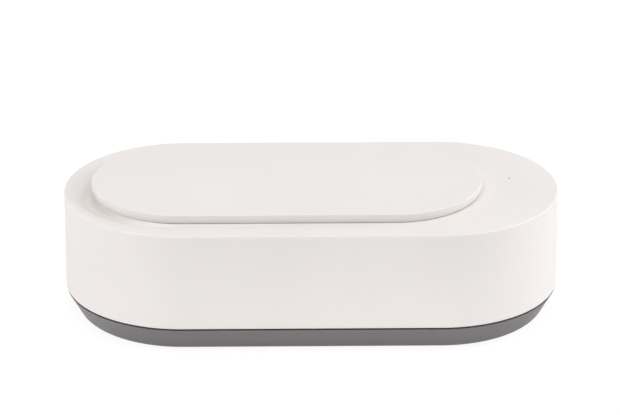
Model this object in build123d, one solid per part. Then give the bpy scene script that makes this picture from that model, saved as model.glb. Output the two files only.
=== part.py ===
from build123d import *
import os
from math import asin, cos, pi, radians, sin, sqrt

# Ultrasonic bath for contact lenses: a long stadium housing with a lift-off lid over a steel tank.
# Millimetres. +Z is up, +X runs to the touch end, and the user stands on the -Y side.
# The origin is on the table under the middle of the housing.
# What sits at the touch end is placed by its inset, the distance from that end of the housing.

# ---- Housing ----
body_length = 205.0
body_width = 99.0
deck_height = 53.5
seam_height = 12.1
shell_wall = 2.4
deck_wall = 2.6
rim_radius = 1.2
shell_lip_radius = 0.6
inner_rim_radius = 1.2

# ---- Lid and the collar that it covers ----
lid_margin_left = 11.5
lid_margin_right = 31.5
lid_margin_side = 13.2
lid_edge = 2.2
lid_skin = 1.4
lid_top_radius = 0.8
lid_under_radius = 2.4
lid_flank = 0.8
drip_edge_drop = 2.15
drip_edge_width = 1.1
lid_overhang = 1.5
shadow_gap = 1.9
collar_wall = 2.5
collar_round = 0.4
skirt_depth = 7.0
locating_rib = 1.5
locating_rib_drop = 3.0
locating_clearance = 0.3
liner_thickness = 1.2
liner_clearance = 0.1
lid_rib = 1.2
lid_rib_pitch = 24.0
seal_thickness = 0.6
seal_inset = 0.6

# ---- Finger scoop: a tilted ring-shaped hollow, deepest at the left end ----
scoop_reach = 39.4
scoop_depth = 3.8
scoop_shoulder = 5.15
scoop_hollow_radius = 3.0
scoop_shoulder_radius = 12.0
scoop_wall = 2.0

# ---- Bath ----
tank_wall = 0.8
tank_floor_height = 19.8
tank_lip = 1.5
tank_draft_inset = 1.5
tank_bottom_radius = 9.0
tank_mouth_radius = 1.0
gasket_thickness = 0.6
flange_margin = 0.5
clamp_thickness = 2.5
clamp_clearance = 0.3
clamp_ear_radius = 4.2
clamp_screw_pitch = 44.0
clamp_screw_offset = 4.6
clamp_boss_radius = 3.2
clamp_boss_gap = 0.3

# ---- Transducer ----
piezo_radius = 22.5
piezo_thickness = 2.5
bond_margin = 0.5
bond_thickness = 0.3

# ---- Base tray ----
foot_height = 0.5
foot_radius = 5.5
foot_recess = 1.0
foot_clearance = 0.15
foot_inset = 44.5
foot_y = 24.0
tray_wall = 2.0
tray_step = 0.3
tray_seam_gap = 0.7
tray_taper = 6.1
tray_bottom_radius = 4.5
tongue_height = 3.2
tongue_wall = 1.4
tongue_clearance = 0.2
vent_width = 1.8
vent_length = 22.0
vent_pitch = 4.2
vent_count = 7
vent_inset = 32.5

# ---- Screws, and the gap between pieces that only touch ----
fit_gap = 0.05
screw_radius = 1.25
screw_head_radius = 2.4
screw_head_height = 1.6
screw_hole_clearance = 0.25
pilot_clearance = 0.05
pilot_depth = 8.0
tower_radius = 3.2
tower_reach = 38.6
tower_joint_height = 20.0
tower_joint_gap = 0.2
tower_mid_x = 12.0
tower_left_angle = 76.0
tower_right_angle = 45.0
head_bore_radius = 2.7
head_seat_height = 11.0

# ---- Driver board ----
board_thickness = 1.6
board_length = 76.0
board_width = 44.0
board_inset = 14.5
board_post_height = 4.0
board_post_radius = 2.6
board_corner = 3.0
board_screw_left = 34.0
board_screw_right = 14.0
board_screw_inset = 4.0
heat_sink_inset = 18.5
heat_sink_y = -9.0
heat_sink_width = 24.0
heat_sink_height = 24.0
heat_sink_plate = 2.0
heat_sink_fin = 1.0
heat_sink_fin_reach = 5.0
heat_sink_fins = 6
transistor_pitch = 12.0
transistor_width = 10.0
transistor_height = 15.0
transistor_thickness = 4.4
transistor_lift = 5.0
lead_wire_radius = 0.4
lead_pitch = 2.54
transformer_inset = 23.5
transformer_y = 13.5
transformer_length = 17.0
transformer_depth = 14.0
transformer_height = 18.0
transformer_limb = 4.0
winding_radius = 6.2
winding_cheek = 0.8
capacitor_radius = 5.0
capacitor_height = 8.5
capacitor_inset = 44.5
capacitor_pitch = 12.0
inductor_inset = 58.5
inductor_y = -12.0
inductor_radius = 5.5
inductor_height = 7.5
chip_inset = 68.5
chip_length = 10.0
chip_width = 4.0
chip_height = 1.5
chip_pins = 8
chip_pin_pitch = 1.27
connector_length = 7.5
connector_width = 6.0
connector_height = 5.5
connector_wall = 0.8
connector_floor = 1.5
piezo_connector_inset = 80.5
piezo_connector_y = -8.0
socket_connector_inset = 64.5
socket_connector_y = 13.0
control_connector_inset = 30.5
control_connector_y = -15.0

# ---- Touch end ----
touch_inset = 16.5
touch_y = -3.0
touch_pocket_radius = 7.0
touch_skin = 1.2
touch_pad_radius = 6.0
control_board_thickness = 1.0
control_board_length = 20.0
control_board_width = 34.0
control_board_inset = 17.0
control_screw_near_x = 6.0
control_screw_near_y = 13.5
control_screw_far_x = 7.0
control_screw_far_y = -11.0
control_board_drop = 4.0
light_inset = 19.8
light_y = 9.1
light_radius = 0.5
light_clearance = 0.05
light_flange_radius = 1.6
light_flange = 1.6
led_length = 2.0
led_width = 1.25
led_height = 0.8
led_gap = 0.2

# ---- Power socket in the rear wall ----
socket_inset = 58.5
socket_z = 27.0
socket_bore_radius = 2.8
socket_bore_depth = 9.5
socket_thread_radius = 4.0
socket_hole_clearance = 0.1
socket_flange_radius = 5.6
socket_flange = 1.2
socket_depth = 11.5
socket_pin_radius = 1.0
socket_pin_length = 8.5
socket_pin_root_radius = 1.4
socket_tab = 2.5
socket_tab_thickness = 0.6
socket_back_wall = 1.0
nut_across_flats = 10.0
nut_height = 2.2
nut_clearance = 0.05

# ---- Lens basket ----
basket_length = 84.0
basket_side_gap = 5.3
basket_plate = 1.4
basket_foot = 1.2
basket_foot_radius = 2.5
well_offset = 16.0
well_radius = 8.0
well_wall = 1.2
well_depth = 7.0
well_slot = 2.0
well_slots = 8
well_rim = 1.6
drain_radius = 1.1
drain_ring = 4.8
basket_slot_width = 2.2
basket_slot_pitch = 4.0
basket_slot_margin = 5.0
basket_slots = 3
basket_rim = 2.0
basket_rim_wall = 1.2
basket_foot_x = 24.0
basket_foot_inset = 7.0
grip_thickness = 3.2
grip_length = 20.0
grip_top = 48.5
grip_bar_radius = 3.0
cap_thickness = 1.6
cap_gap = 0.2
cap_spigot = 1.0
cap_spigot_wall = 0.9
cap_clearance = 0.3
cap_tab_length = 1.0
cap_tab_width = 7.0
hinge_offset = 11.3
hinge_pin_radius = 0.8
hinge_running = 0.05
hinge_press = 0.01
knuckle_radius = 1.8
knuckle_width = 7.6
ear_thickness = 2.0
ear_gap = 0.2
ear_radius = 2.2

# ---- Inner leads ----
piezo_wire_radius = 0.7
socket_wire_radius = 0.6
control_wire_radius = 1.3
lead_clearance = 2.0
piezo_pad_offset = 4.0
control_lead_offset = 8.0
control_lead_shift = 5.0
control_lead_drop = 5.0
control_lead_slope = 10.0
plug_bend = 1.6
piezo_lead_bend = 6.0
socket_lead_bend = 4.0
control_lead_bend = 5.0

# ---- Sizes worked out from the ones above ----

touch_end_x = body_length / 2
body_end_x = (body_length - body_width) / 2
board_x = touch_end_x - board_inset - board_length / 2
heat_sink_x = touch_end_x - heat_sink_inset
transformer_x = touch_end_x - transformer_inset
capacitor_x = touch_end_x - capacitor_inset
inductor_x = touch_end_x - inductor_inset
chip_x = touch_end_x - chip_inset
touch_x = touch_end_x - touch_inset
control_board_x = touch_end_x - control_board_inset
light_x = touch_end_x - light_inset
socket_x = touch_end_x - socket_inset
vent_x = touch_end_x - vent_inset
foot_x = touch_end_x - foot_inset
lid_length = body_length - lid_margin_left - lid_margin_right
lid_width = body_width - 2 * lid_margin_side
tank_x = (lid_margin_left - lid_margin_right) / 2
lid_bottom = deck_height + shadow_gap
lid_top = lid_bottom + lid_edge
collar_top = lid_bottom - seal_thickness
skirt_bottom = deck_height - skirt_depth
opening_inset = lid_overhang + collar_wall
flange_top = skirt_bottom - gasket_thickness
flange_bottom = flange_top - tank_wall
flange_inset = lid_overhang + flange_margin
tank_inset = opening_inset + tank_lip
tank_under = tank_floor_height - tank_wall
basket_width = lid_width - 2 * (tank_inset + tank_draft_inset + basket_side_gap)
basket_foot_y = basket_width / 2 - basket_foot_inset
deck_under = deck_height - deck_wall
tray_bottom = foot_height
tray_top = seam_height - tray_seam_gap
tray_floor = tray_bottom + tray_wall
screw_hole_radius = screw_radius + screw_hole_clearance
pilot_radius = screw_radius + pilot_clearance
board_under = tray_floor + board_post_height
board_top = board_under + board_thickness
plug_depth = board_top + fit_gap + connector_floor + 0.5
bond_bottom = tank_under - bond_thickness
piezo_bottom = bond_bottom - piezo_thickness
control_board_top = deck_under - control_board_drop
clamp_screw_y = lid_width / 2 - lid_overhang + clamp_screw_offset
basket_floor = tank_floor_height + basket_foot
well_floor = basket_floor + basket_plate
well_top = well_floor + well_depth
cap_bottom = well_top + cap_gap
hinge_height = cap_bottom + cap_thickness / 2
outer_wall_y = body_width / 2

clamp_screw_spots = [
    (tank_x + step * clamp_screw_pitch, side * clamp_screw_y)
    for step in (-1, 0, 1)
    for side in (-1, 1)
]
tower_spots = [
    spot
    for side in (-1, 1)
    for spot in (
        (
            -body_end_x - tower_reach * cos(radians(tower_left_angle)),
            side * tower_reach * sin(radians(tower_left_angle)),
        ),
        (tower_mid_x, side * tower_reach),
        (
            body_end_x + tower_reach * cos(radians(tower_right_angle)),
            side * tower_reach * sin(radians(tower_right_angle)),
        ),
    )
]
board_screw_spots = [
    (x, side * (board_width / 2 - board_screw_inset))
    for x in (board_x - board_screw_left, board_x + board_screw_right)
    for side in (-1, 1)
]
control_screw_spots = [
    (control_board_x + control_screw_far_x, control_screw_far_y),
    (control_board_x - control_screw_near_x, control_screw_near_y),
]
connector_spots = {
    "piezo": (touch_end_x - piezo_connector_inset, piezo_connector_y),
    "socket": (touch_end_x - socket_connector_inset, socket_connector_y),
    "control": (touch_end_x - control_connector_inset, control_connector_y),
}
well_spots = {"left": tank_x - well_offset, "right": tank_x + well_offset}


# ---- Shapes used again and again ----
def oval(length, width, x, z):
    """A stadium face, its straight sides along X."""
    radius = width / 2
    half = length / 2 - radius
    outline = Line((-half, -radius), (half, -radius))
    outline += CenterArc((half, 0), radius, -90, 180)
    outline += Line((half, radius), (-half, radius))
    outline += CenterArc((-half, 0), radius, 90, 180)
    return Pos(x, 0, z) * make_face(outline)


def body_oval(inset, z):
    """The housing's outline, moved in by inset."""
    return oval(body_length - 2 * inset, body_width - 2 * inset, 0, z)


def lid_plate_oval(inset, z):
    """The lid's own outline, which stands out further at the sides than at the ends."""
    return oval(lid_length - 2 * inset, lid_width + 2 * (lid_flank - inset), tank_x, z)


def lid_oval(inset, z):
    """The outline that the lid, the collar and the tank share, moved in by inset."""
    return oval(lid_length - 2 * inset, lid_width - 2 * inset, tank_x, z)


def raise_to(face, height):
    """The face drawn straight up by height."""
    return extrude(face, amount=height, dir=(0, 0, 1))


def post(x, y, z_low, z_high, radius):
    """An upright round post."""
    return Pos(x, y, (z_low + z_high) / 2) * Cylinder(radius, z_high - z_low)


def block(x, y, z_low, length, width, height):
    """A block standing on z_low, centred on x and y."""
    return Pos(x, y, z_low + height / 2) * Box(length, width, height)


def bottom_edges(solid):
    return solid.edges().group_by(Axis.Z)[0]


def top_edges(solid):
    return solid.edges().group_by(Axis.Z)[-1]


def screw(x, y, head_under, length):
    """A pan-head screw that points up from the underside of what it holds."""
    head = post(x, y, head_under - screw_head_height, head_under, screw_head_radius)
    head = chamfer(bottom_edges(head), screw_head_height / 3)
    shank = post(x, y, head_under, head_under + length, screw_radius)
    return head + chamfer(top_edges(shank), screw_radius / 3)


def hanging_screw(x, y, head_over, length):
    """A pan-head screw that points down from the top of what it holds."""
    head = post(x, y, head_over, head_over + screw_head_height, screw_head_radius)
    head = chamfer(top_edges(head), screw_head_height / 3)
    shank = post(x, y, head_over - length, head_over, screw_radius)
    return head + chamfer(bottom_edges(shank), screw_radius / 3)


def tube_along(points, radii, wire_radius):
    """A round lead along straight runs joined by tangent arcs."""
    path = FilletPolyline(*points, radius=radii)
    section = Plane(origin=path @ 0, z_dir=path % 0) * Circle(wire_radius)
    return sweep(section, path=path)


def socket_place(depth):
    """A place on the socket's axis, depth inwards from the outside of the rear wall."""
    return Pos(socket_x, outer_wall_y - depth, socket_z) * Rot(90, 0, 0)


def socket_round(depth_from, depth_to, radius):
    """A round of the socket between two depths."""
    return socket_place((depth_from + depth_to) / 2) * Cylinder(radius, depth_to - depth_from)


# ---- Upper shell ----
def scoop_place():
    """Middle of the scoop's ring, tilted so that the ring dips at the left end."""
    tilt = asin(scoop_depth / scoop_reach) * 180 / pi
    return Pos(-body_end_x, 0, deck_height) * Rot(0, -tilt, 0)


def scoop_ring(growth):
    """Everything over the scoop's surface, with that surface moved outwards by growth."""
    hollow = scoop_hollow_radius + growth
    shoulder = scoop_shoulder_radius - growth
    fall = scoop_hollow_radius + scoop_shoulder_radius - scoop_shoulder
    run = sqrt((hollow + shoulder) ** 2 - fall**2)
    turn = asin(run / (hollow + shoulder))
    shoulder_x = scoop_reach + run
    shoulder_z = scoop_hollow_radius - fall
    inner_edge = (scoop_reach - hollow, scoop_hollow_radius)
    bottom = (scoop_reach, scoop_hollow_radius - hollow)
    turn_point = (scoop_reach + hollow * sin(turn), scoop_hollow_radius - hollow * cos(turn))
    shoulder_mid = (shoulder_x - shoulder * sin(turn / 2), shoulder_z + shoulder * cos(turn / 2))
    shoulder_top = (shoulder_x, shoulder_z + shoulder)
    top = 2 * scoop_shoulder
    section = ThreePointArc(inner_edge, bottom, turn_point)
    section += ThreePointArc(turn_point, shoulder_mid, shoulder_top)
    section += Polyline(shoulder_top, (shoulder_x, top), (inner_edge[0], top), inner_edge)
    return scoop_place() * revolve(Plane.XZ * make_face(section), Axis.Z)


def scoop_cutter():
    """The hollow round the left end, kept off the collar."""
    return scoop_ring(0) - raise_to(lid_oval(lid_overhang, 0), 2 * deck_height)


def scoop_backing():
    """Wall under the scoop, so that the hollow keeps its thickness."""
    keep = raise_to(body_oval(shell_wall / 2, skirt_bottom), deck_height - deck_wall / 2 - skirt_bottom)
    return scoop_ring(scoop_wall) & keep


def shell_towers():
    """Screw towers that hang from the deck, each tied to the wall by a web."""
    towers = Part()
    for x, y in tower_spots:
        towers += post(x, y, tower_joint_height + tower_joint_gap, deck_under + 1, tower_radius)
    for x, y in clamp_screw_spots:
        towers += post(x, y, flange_bottom + clamp_boss_gap, deck_under + 1, clamp_boss_radius)
    for x, y in control_screw_spots:
        towers += post(x, y, control_board_top, deck_under + 1, clamp_boss_radius)
    return towers


def shell_pilots():
    """Blind pilot holes of every tower."""
    holes = Part()
    for x, y in tower_spots:
        low = tower_joint_height + tower_joint_gap
        holes += post(x, y, low - 1, low + pilot_depth, pilot_radius)
    for x, y in clamp_screw_spots:
        low = flange_bottom + clamp_boss_gap
        holes += post(x, y, low - 1, deck_under - 1, pilot_radius)
    for x, y in control_screw_spots:
        holes += post(x, y, control_board_top - 1, deck_under, pilot_radius)
    return holes


def body_shell():
    outer = raise_to(body_oval(0, seam_height), deck_height - seam_height)
    outer = fillet(top_edges(outer), rim_radius)
    outer = fillet(bottom_edges(outer), shell_lip_radius)
    inner = raise_to(body_oval(shell_wall, seam_height - 1), deck_under - seam_height + 1)
    inner = fillet(top_edges(inner), inner_rim_radius)
    collar = raise_to(lid_oval(lid_overhang, skirt_bottom), collar_top - skirt_bottom)
    collar = fillet(top_edges(collar), collar_round)
    opening = raise_to(lid_oval(opening_inset, skirt_bottom - 1), collar_top - skirt_bottom + 2)
    shell = outer - inner + scoop_backing() + shell_towers() + collar
    shell -= opening + scoop_cutter() + shell_pilots()
    shell -= post(touch_x, touch_y, deck_under - 1, deck_height - touch_skin, touch_pocket_radius)
    shell -= post(light_x, light_y, deck_under - 1, deck_height + 1, light_radius + light_clearance)
    shell -= socket_round(-1, 2 * shell_wall, socket_thread_radius + socket_hole_clearance)
    shell -= socket_round(-1, socket_flange, socket_flange_radius + socket_hole_clearance)
    return shell


# ---- Base tray ----
def tapered_bowl(inset_low, z_low, inset_high, z_high, radius):
    """A stadium that widens upwards, its bottom edge rounded."""
    bowl = loft([body_oval(inset_low, z_low), body_oval(inset_high, z_high)], ruled=True)
    return fillet(bottom_edges(bowl), radius)


def base_tray():
    slope = tray_taper / (tray_top - tray_bottom)
    low_inset = tray_step + tray_taper
    outer = tapered_bowl(low_inset, tray_bottom, tray_step, tray_top, tray_bottom_radius)
    inner_low = low_inset + tray_wall - slope * tray_wall
    inner_radius = tray_bottom_radius - tray_wall
    inner = tapered_bowl(inner_low, tray_floor, tray_step + tray_wall - slope, tray_top + 1, inner_radius)
    tongue_inset = shell_wall + tongue_clearance
    tongue = raise_to(body_oval(tongue_inset, tray_top - tongue_height), 2 * tongue_height)
    tongue -= raise_to(body_oval(tongue_inset + tongue_wall, tray_top - tongue_height), 2 * tongue_height)
    tray = outer - inner + tongue
    for x, y in tower_spots:
        tray += post(x, y, tray_floor - 1, tower_joint_height, tower_radius)
    for x, y in board_screw_spots:
        tray += post(x, y, tray_floor - 1, board_under, board_post_radius)
    for x in (-foot_x, foot_x):
        for y in (-foot_y, foot_y):
            tray += post(x, y, tray_floor - 0.5, tray_floor + foot_recess, foot_radius + tray_wall)
            tray -= post(x, y, tray_bottom - 1, tray_bottom + foot_recess, foot_radius + foot_clearance)
    for x, y in tower_spots:
        tray -= post(x, y, tray_bottom - 1, head_seat_height, head_bore_radius)
        tray -= post(x, y, head_seat_height - 1, tower_joint_height + 1, screw_hole_radius)
    for x, y in board_screw_spots:
        tray -= post(x, y, tray_floor, board_under + 1, pilot_radius)
    for index in range(vent_count):
        x = vent_x + (index - (vent_count - 1) / 2) * vent_pitch
        slot = Pos(x, 0, tray_bottom - 1) * Rot(0, 0, 90) * SlotOverall(vent_length, vent_width)
        tray -= raise_to(slot, tray_wall + 2)
    return tray


def rubber_feet():
    feet = []
    for x in (-foot_x, foot_x):
        for y in (-foot_y, foot_y):
            foot = post(x, y, 0, tray_bottom + foot_recess, foot_radius)
            feet.append(fillet(bottom_edges(foot), foot_height / 2))
    return feet


def base_screws():
    length = tower_joint_height - head_seat_height + pilot_depth - 1
    return [screw(x, y, head_seat_height, length) for x, y in tower_spots]


# ---- Bath ----
def tank():
    low_inset = tank_inset + tank_draft_inset
    outer = loft(
        [lid_oval(low_inset - tank_wall, tank_under), lid_oval(tank_inset - tank_wall, flange_bottom)], ruled=True
    )
    outer = fillet(bottom_edges(outer), tank_bottom_radius + tank_wall)
    flange = raise_to(lid_oval(flange_inset, flange_bottom), tank_wall)
    inner = loft([lid_oval(low_inset, tank_floor_height), lid_oval(tank_inset, flange_top)], ruled=True)
    inner = fillet(bottom_edges(inner), tank_bottom_radius)
    bowl = outer + flange - inner
    rim_face = bowl.faces().sort_by(Axis.Z)[-1]
    return fillet(rim_face.inner_wires()[0].edges(), tank_mouth_radius * tank_wall)


def tank_gasket():
    ring = lid_oval(flange_inset, flange_top) - lid_oval(opening_inset, flange_top)
    return raise_to(ring, gasket_thickness)


def clamp_frame():
    low = flange_bottom - clamp_thickness
    outer = raise_to(lid_oval(lid_overhang, low), clamp_thickness)
    inner = raise_to(lid_oval(tank_inset - tank_wall - clamp_clearance, low - 1), clamp_thickness + 2)
    frame = outer
    for x, y in clamp_screw_spots:
        frame += post(x, y, low, flange_bottom, clamp_ear_radius)
        web_y = y - clamp_ear_radius / 2 if y > 0 else y + clamp_ear_radius / 2
        frame += block(x, web_y, low, 2 * clamp_ear_radius, clamp_ear_radius, clamp_thickness)
    frame -= inner
    for x, y in clamp_screw_spots:
        frame -= post(x, y, low - 1, flange_bottom + 1, screw_hole_radius)
    return frame


def clamp_screws():
    length = clamp_thickness + deck_under - flange_bottom - 2
    return [screw(x, y, flange_bottom - clamp_thickness, length) for x, y in clamp_screw_spots]


def bond_pad():
    return post(tank_x, 0, bond_bottom, tank_under, piezo_radius + bond_margin)


def piezo_disc():
    return post(tank_x, 0, piezo_bottom, bond_bottom, piezo_radius)


# ---- Lid ----
def lid_cover():
    drip_bottom = lid_bottom - drip_edge_drop
    plate = raise_to(lid_plate_oval(0, drip_bottom), lid_edge + drip_edge_drop)
    plate = fillet(top_edges(plate), lid_top_radius)
    plate = fillet(bottom_edges(plate), lid_under_radius)
    plate -= raise_to(lid_plate_oval(drip_edge_width, drip_bottom - 1), drip_edge_drop + 1)
    rib_inset = opening_inset + locating_clearance
    low = lid_bottom - locating_rib_drop
    rib = raise_to(lid_oval(rib_inset, low), locating_rib_drop + 0.1)
    rib -= raise_to(lid_oval(rib_inset + locating_rib, low - 1), locating_rib_drop + 2)
    hollow_depth = lid_edge - lid_skin
    hollow = raise_to(lid_oval(rib_inset + locating_rib, lid_bottom - 1), hollow_depth + 1)
    reach = lid_length - 2 * (rib_inset + locating_rib)
    for step in (-1, 0, 1):
        hollow -= block(tank_x, step * lid_rib_pitch, lid_bottom, reach, lid_rib, hollow_depth)
    count = int(reach / lid_rib_pitch / 2)
    for step in range(-count, count + 1):
        hollow -= block(tank_x + step * lid_rib_pitch, 0, lid_bottom, lid_rib, lid_width, hollow_depth)
    return plate - hollow + rib


def lid_liner():
    inset = opening_inset + locating_clearance + locating_rib + liner_clearance
    return raise_to(lid_oval(inset, lid_bottom - liner_thickness), liner_thickness)


def lid_seal():
    outer_inset = lid_overhang + seal_inset
    inner_inset = opening_inset - seal_inset / 2
    ring = lid_oval(outer_inset, collar_top) - lid_oval(inner_inset, collar_top)
    return raise_to(ring, seal_thickness)


# ---- Driver board ----
def main_board():
    board = block(board_x, 0, board_under, board_length, board_width, board_thickness)
    board = fillet(board.edges().filter_by(Axis.Z), board_corner)
    for x, y in board_screw_spots:
        board -= post(x, y, board_under - 1, board_top + 1, screw_radius + pilot_clearance)
    return board


def board_screws():
    length = board_thickness + board_post_height - 1
    return [hanging_screw(x, y, board_top, length) for x, y in board_screw_spots]


def heat_sink():
    low = board_top + fit_gap
    sink = block(heat_sink_x, heat_sink_y, low, heat_sink_plate, heat_sink_width, heat_sink_height)
    fin_x = heat_sink_x + (heat_sink_plate + heat_sink_fin_reach) / 2
    pitch = (heat_sink_width - heat_sink_fin) / (heat_sink_fins - 1)
    for index in range(heat_sink_fins):
        fin_y = heat_sink_y - heat_sink_width / 2 + heat_sink_fin / 2 + index * pitch
        sink += block(fin_x, fin_y, low, heat_sink_fin_reach, heat_sink_fin, heat_sink_height)
    return sink


def power_transistors():
    back = heat_sink_x - heat_sink_plate / 2
    x = back - transistor_thickness / 2
    low = board_top + fit_gap
    group = []
    for side in (-0.5, 0.5):
        y = heat_sink_y + side * transistor_pitch
        part = block(x, y, low + transistor_lift, transistor_thickness, transistor_width, transistor_height)
        part = chamfer(part.edges().filter_by(Axis.Z).group_by(Axis.X)[0], transistor_thickness / 5)
        for step in (-1, 0, 1):
            part += post(x, y + step * lead_pitch, low, low + transistor_lift + 0.1, lead_wire_radius)
        group.append(part)
    return group


def transformer_core():
    """Two E halves: a back top and bottom, and three limbs."""
    low = board_top + fit_gap
    limb = transformer_limb
    bottom = block(transformer_x, transformer_y, low, transformer_length, transformer_depth, limb)
    top = Pos(0, 0, transformer_height - limb) * bottom
    core = bottom + top
    outer_x = (transformer_length - limb / 2) / 2
    for side in (-1, 1):
        x = transformer_x + side * outer_x
        core += block(x, transformer_y, low, limb / 2, transformer_depth, transformer_height)
    return core + post(transformer_x, transformer_y, low, low + transformer_height, limb / 2)


def transformer_winding():
    low = board_top + fit_gap + transformer_limb
    high = low + transformer_height - 2 * transformer_limb
    bobbin = post(transformer_x, transformer_y, low, high, winding_radius - winding_cheek)
    for z in (low, high - winding_cheek):
        bobbin += post(transformer_x, transformer_y, z, z + winding_cheek, winding_radius)
    return bobbin - post(transformer_x, transformer_y, low - 1, high + 1, transformer_limb / 2 + fit_gap)


def filter_capacitors():
    low = board_top + fit_gap
    cans = []
    for side in (-0.5, 0.5):
        y = side * capacitor_pitch
        can = post(capacitor_x, y, low, low + capacitor_height, capacitor_radius)
        can = fillet(can.edges().filter_by(GeomType.CIRCLE), capacitor_radius / 10)
        cans.append(can)
    return cans


def drum_inductor():
    """A ferrite drum: two flanges on a waist filled by its winding."""
    low = board_top + fit_gap
    flange = inductor_height / 6
    drum = post(inductor_x, inductor_y, low, low + inductor_height, inductor_radius * 0.85)
    for z in (low, low + inductor_height - flange):
        drum += post(inductor_x, inductor_y, z, z + flange, inductor_radius)
    return drum


def controller_chip():
    low = board_top + fit_gap
    lead = lead_wire_radius
    body = block(chip_x, 0, low + lead / 2, chip_length, chip_width, chip_height)
    body = chamfer(top_edges(body), chip_height / 5)
    for index in range(chip_pins):
        x = chip_x + (index - (chip_pins - 1) / 2) * chip_pin_pitch
        body += block(x, 0, low, lead, chip_width + 4 * lead, 2 * lead)
    return body


def board_connectors():
    """Open-topped headers that the inner leads plug into."""
    low = board_top + fit_gap
    group = []
    inner_length = connector_length - 2 * connector_wall
    inner_width = connector_width - 2 * connector_wall
    for x, y in connector_spots.values():
        header = block(x, y, low, connector_length, connector_width, connector_height)
        header -= block(x, y, low + connector_floor, inner_length, inner_width, connector_height)
        group.append(header)
    return group


# ---- Touch end ----
def control_board():
    low = control_board_top - control_board_thickness
    board = block(control_board_x, 0, low, control_board_length, control_board_width, control_board_thickness)
    board = fillet(board.edges().filter_by(Axis.Z), board_corner)
    for x, y in control_screw_spots:
        board -= post(x, y, low - 1, control_board_top + 1, screw_radius + pilot_clearance)
    return board


def control_screws():
    low = control_board_top - control_board_thickness
    length = control_board_thickness + control_board_drop - 1
    return [screw(x, y, low, length) for x, y in control_screw_spots]


def touch_pad():
    return post(touch_x, touch_y, control_board_top, deck_height - touch_skin, touch_pad_radius)


def indicator_led():
    body = block(light_x, light_y, control_board_top, led_length, led_width, led_height)
    return chamfer(top_edges(body), led_height / 6)


def light_pipe():
    low = control_board_top + led_height + led_gap
    pipe = post(light_x, light_y, low, deck_height, light_radius)
    return pipe + post(light_x, light_y, deck_under - light_flange, deck_under, light_flange_radius)


# ---- Power socket ----
def power_socket():
    body = socket_round(0, socket_flange, socket_flange_radius)
    body = fillet(body.edges().filter_by(GeomType.CIRCLE).sort_by(Axis.Y)[-1], socket_flange / 3)
    body += socket_round(socket_flange, socket_depth, socket_thread_radius)
    body -= socket_round(-1, socket_bore_depth, socket_bore_radius)
    body -= socket_round(socket_bore_depth - 1, socket_depth - socket_back_wall, socket_pin_root_radius + fit_gap)
    tab = Box(2 * socket_pin_radius, socket_tab + 1, socket_tab_thickness)
    for side in (-1, 1):
        x = socket_x + side * socket_thread_radius / 2
        body += Pos(x, outer_wall_y - socket_depth - (socket_tab - 1) / 2, socket_z) * tab
    return body


def socket_pin():
    """The centre contact: a free pin on a thicker root that sits in the socket's back wall."""
    pin = socket_round(socket_bore_depth - socket_pin_length, socket_bore_depth, socket_pin_radius)
    pin = fillet(pin.edges().filter_by(GeomType.CIRCLE).sort_by(Axis.Y)[-1], socket_pin_radius / 2)
    return pin + socket_round(socket_bore_depth, socket_depth - socket_back_wall, socket_pin_root_radius)


def socket_nut():
    hexagon = RegularPolygon(nut_across_flats / 2, 6, major_radius=False)
    nut = socket_place(shell_wall + nut_height) * extrude(hexagon, amount=nut_height)
    return nut - socket_round(0, 2 * socket_depth, socket_thread_radius + nut_clearance)


# ---- Lens basket ----
def well_drains(x):
    """Drain holes of one well: one in the middle and six round it."""
    holes = post(x, 0, basket_floor - 1, well_floor + 1, drain_radius)
    for index in range(6):
        angle = radians(60 * index)
        holes += post(
            x + drain_ring * cos(angle), drain_ring * sin(angle), basket_floor - 1, well_floor + 1, drain_radius
        )
    return holes


def hinge_bar(x, x_offset, width, radius):
    """A round on a cap's hinge axis."""
    return Pos(x + x_offset, hinge_offset, hinge_height) * Rot(0, 90, 0) * Cylinder(radius, width)


def well(x):
    """One lens well: slotted wall, rim, and two hinge ears behind it."""
    outer = well_radius + well_wall
    cup = post(x, 0, basket_floor, well_top, outer) - post(x, 0, well_floor, well_top + 1, well_radius)
    slot_height = well_depth - 2 * well_rim
    slot_z = well_floor + well_rim
    for index in range(well_slots):
        slot = block(outer, 0, slot_z, 2 * outer, well_slot, slot_height)
        cup -= Pos(x, 0, 0) * Rot(0, 0, 360 * (index + 0.5) / well_slots) * slot
    ear_x = knuckle_width / 2 + ear_gap + ear_thickness / 2
    for side in (-1, 1):
        ear = hinge_bar(x, side * ear_x, ear_thickness, ear_radius)
        ear_height = hinge_height - basket_floor
        ear += block(x + side * ear_x, hinge_offset, basket_floor, ear_thickness, 2 * ear_radius, ear_height)
        ear -= hinge_bar(x, side * ear_x, 2 * ear_thickness, hinge_pin_radius + hinge_press)
        cup += ear
    return cup


def basket_end_slots():
    """Drain slots across both ends of the plate, each as long as the rim lets it be."""
    end_radius = basket_width / 2
    end_x = basket_length / 2 - end_radius
    slots = Part()
    for index in range(basket_slots):
        reach = basket_length / 2 - basket_slot_margin - index * basket_slot_pitch
        length = 2 * (sqrt(end_radius**2 - (reach - end_x) ** 2) - basket_slot_margin)
        for side in (-1, 1):
            place = Pos(tank_x + side * reach, 0, basket_floor - 1) * Rot(0, 0, 90)
            slots += raise_to(place * SlotOverall(length, basket_slot_width), basket_plate + 2)
    return slots


def basket_grip():
    """Upright fin between the wells with a round bar along its top."""
    bar_z = grip_top - grip_bar_radius
    fin = block(tank_x, 0, basket_floor, grip_thickness, grip_length, bar_z - basket_floor)
    bar = Pos(tank_x, 0, bar_z) * Rot(90, 0, 0) * Cylinder(grip_bar_radius, grip_length)
    return fin + fillet(bar.edges().filter_by(GeomType.CIRCLE), grip_bar_radius / 3)


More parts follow.
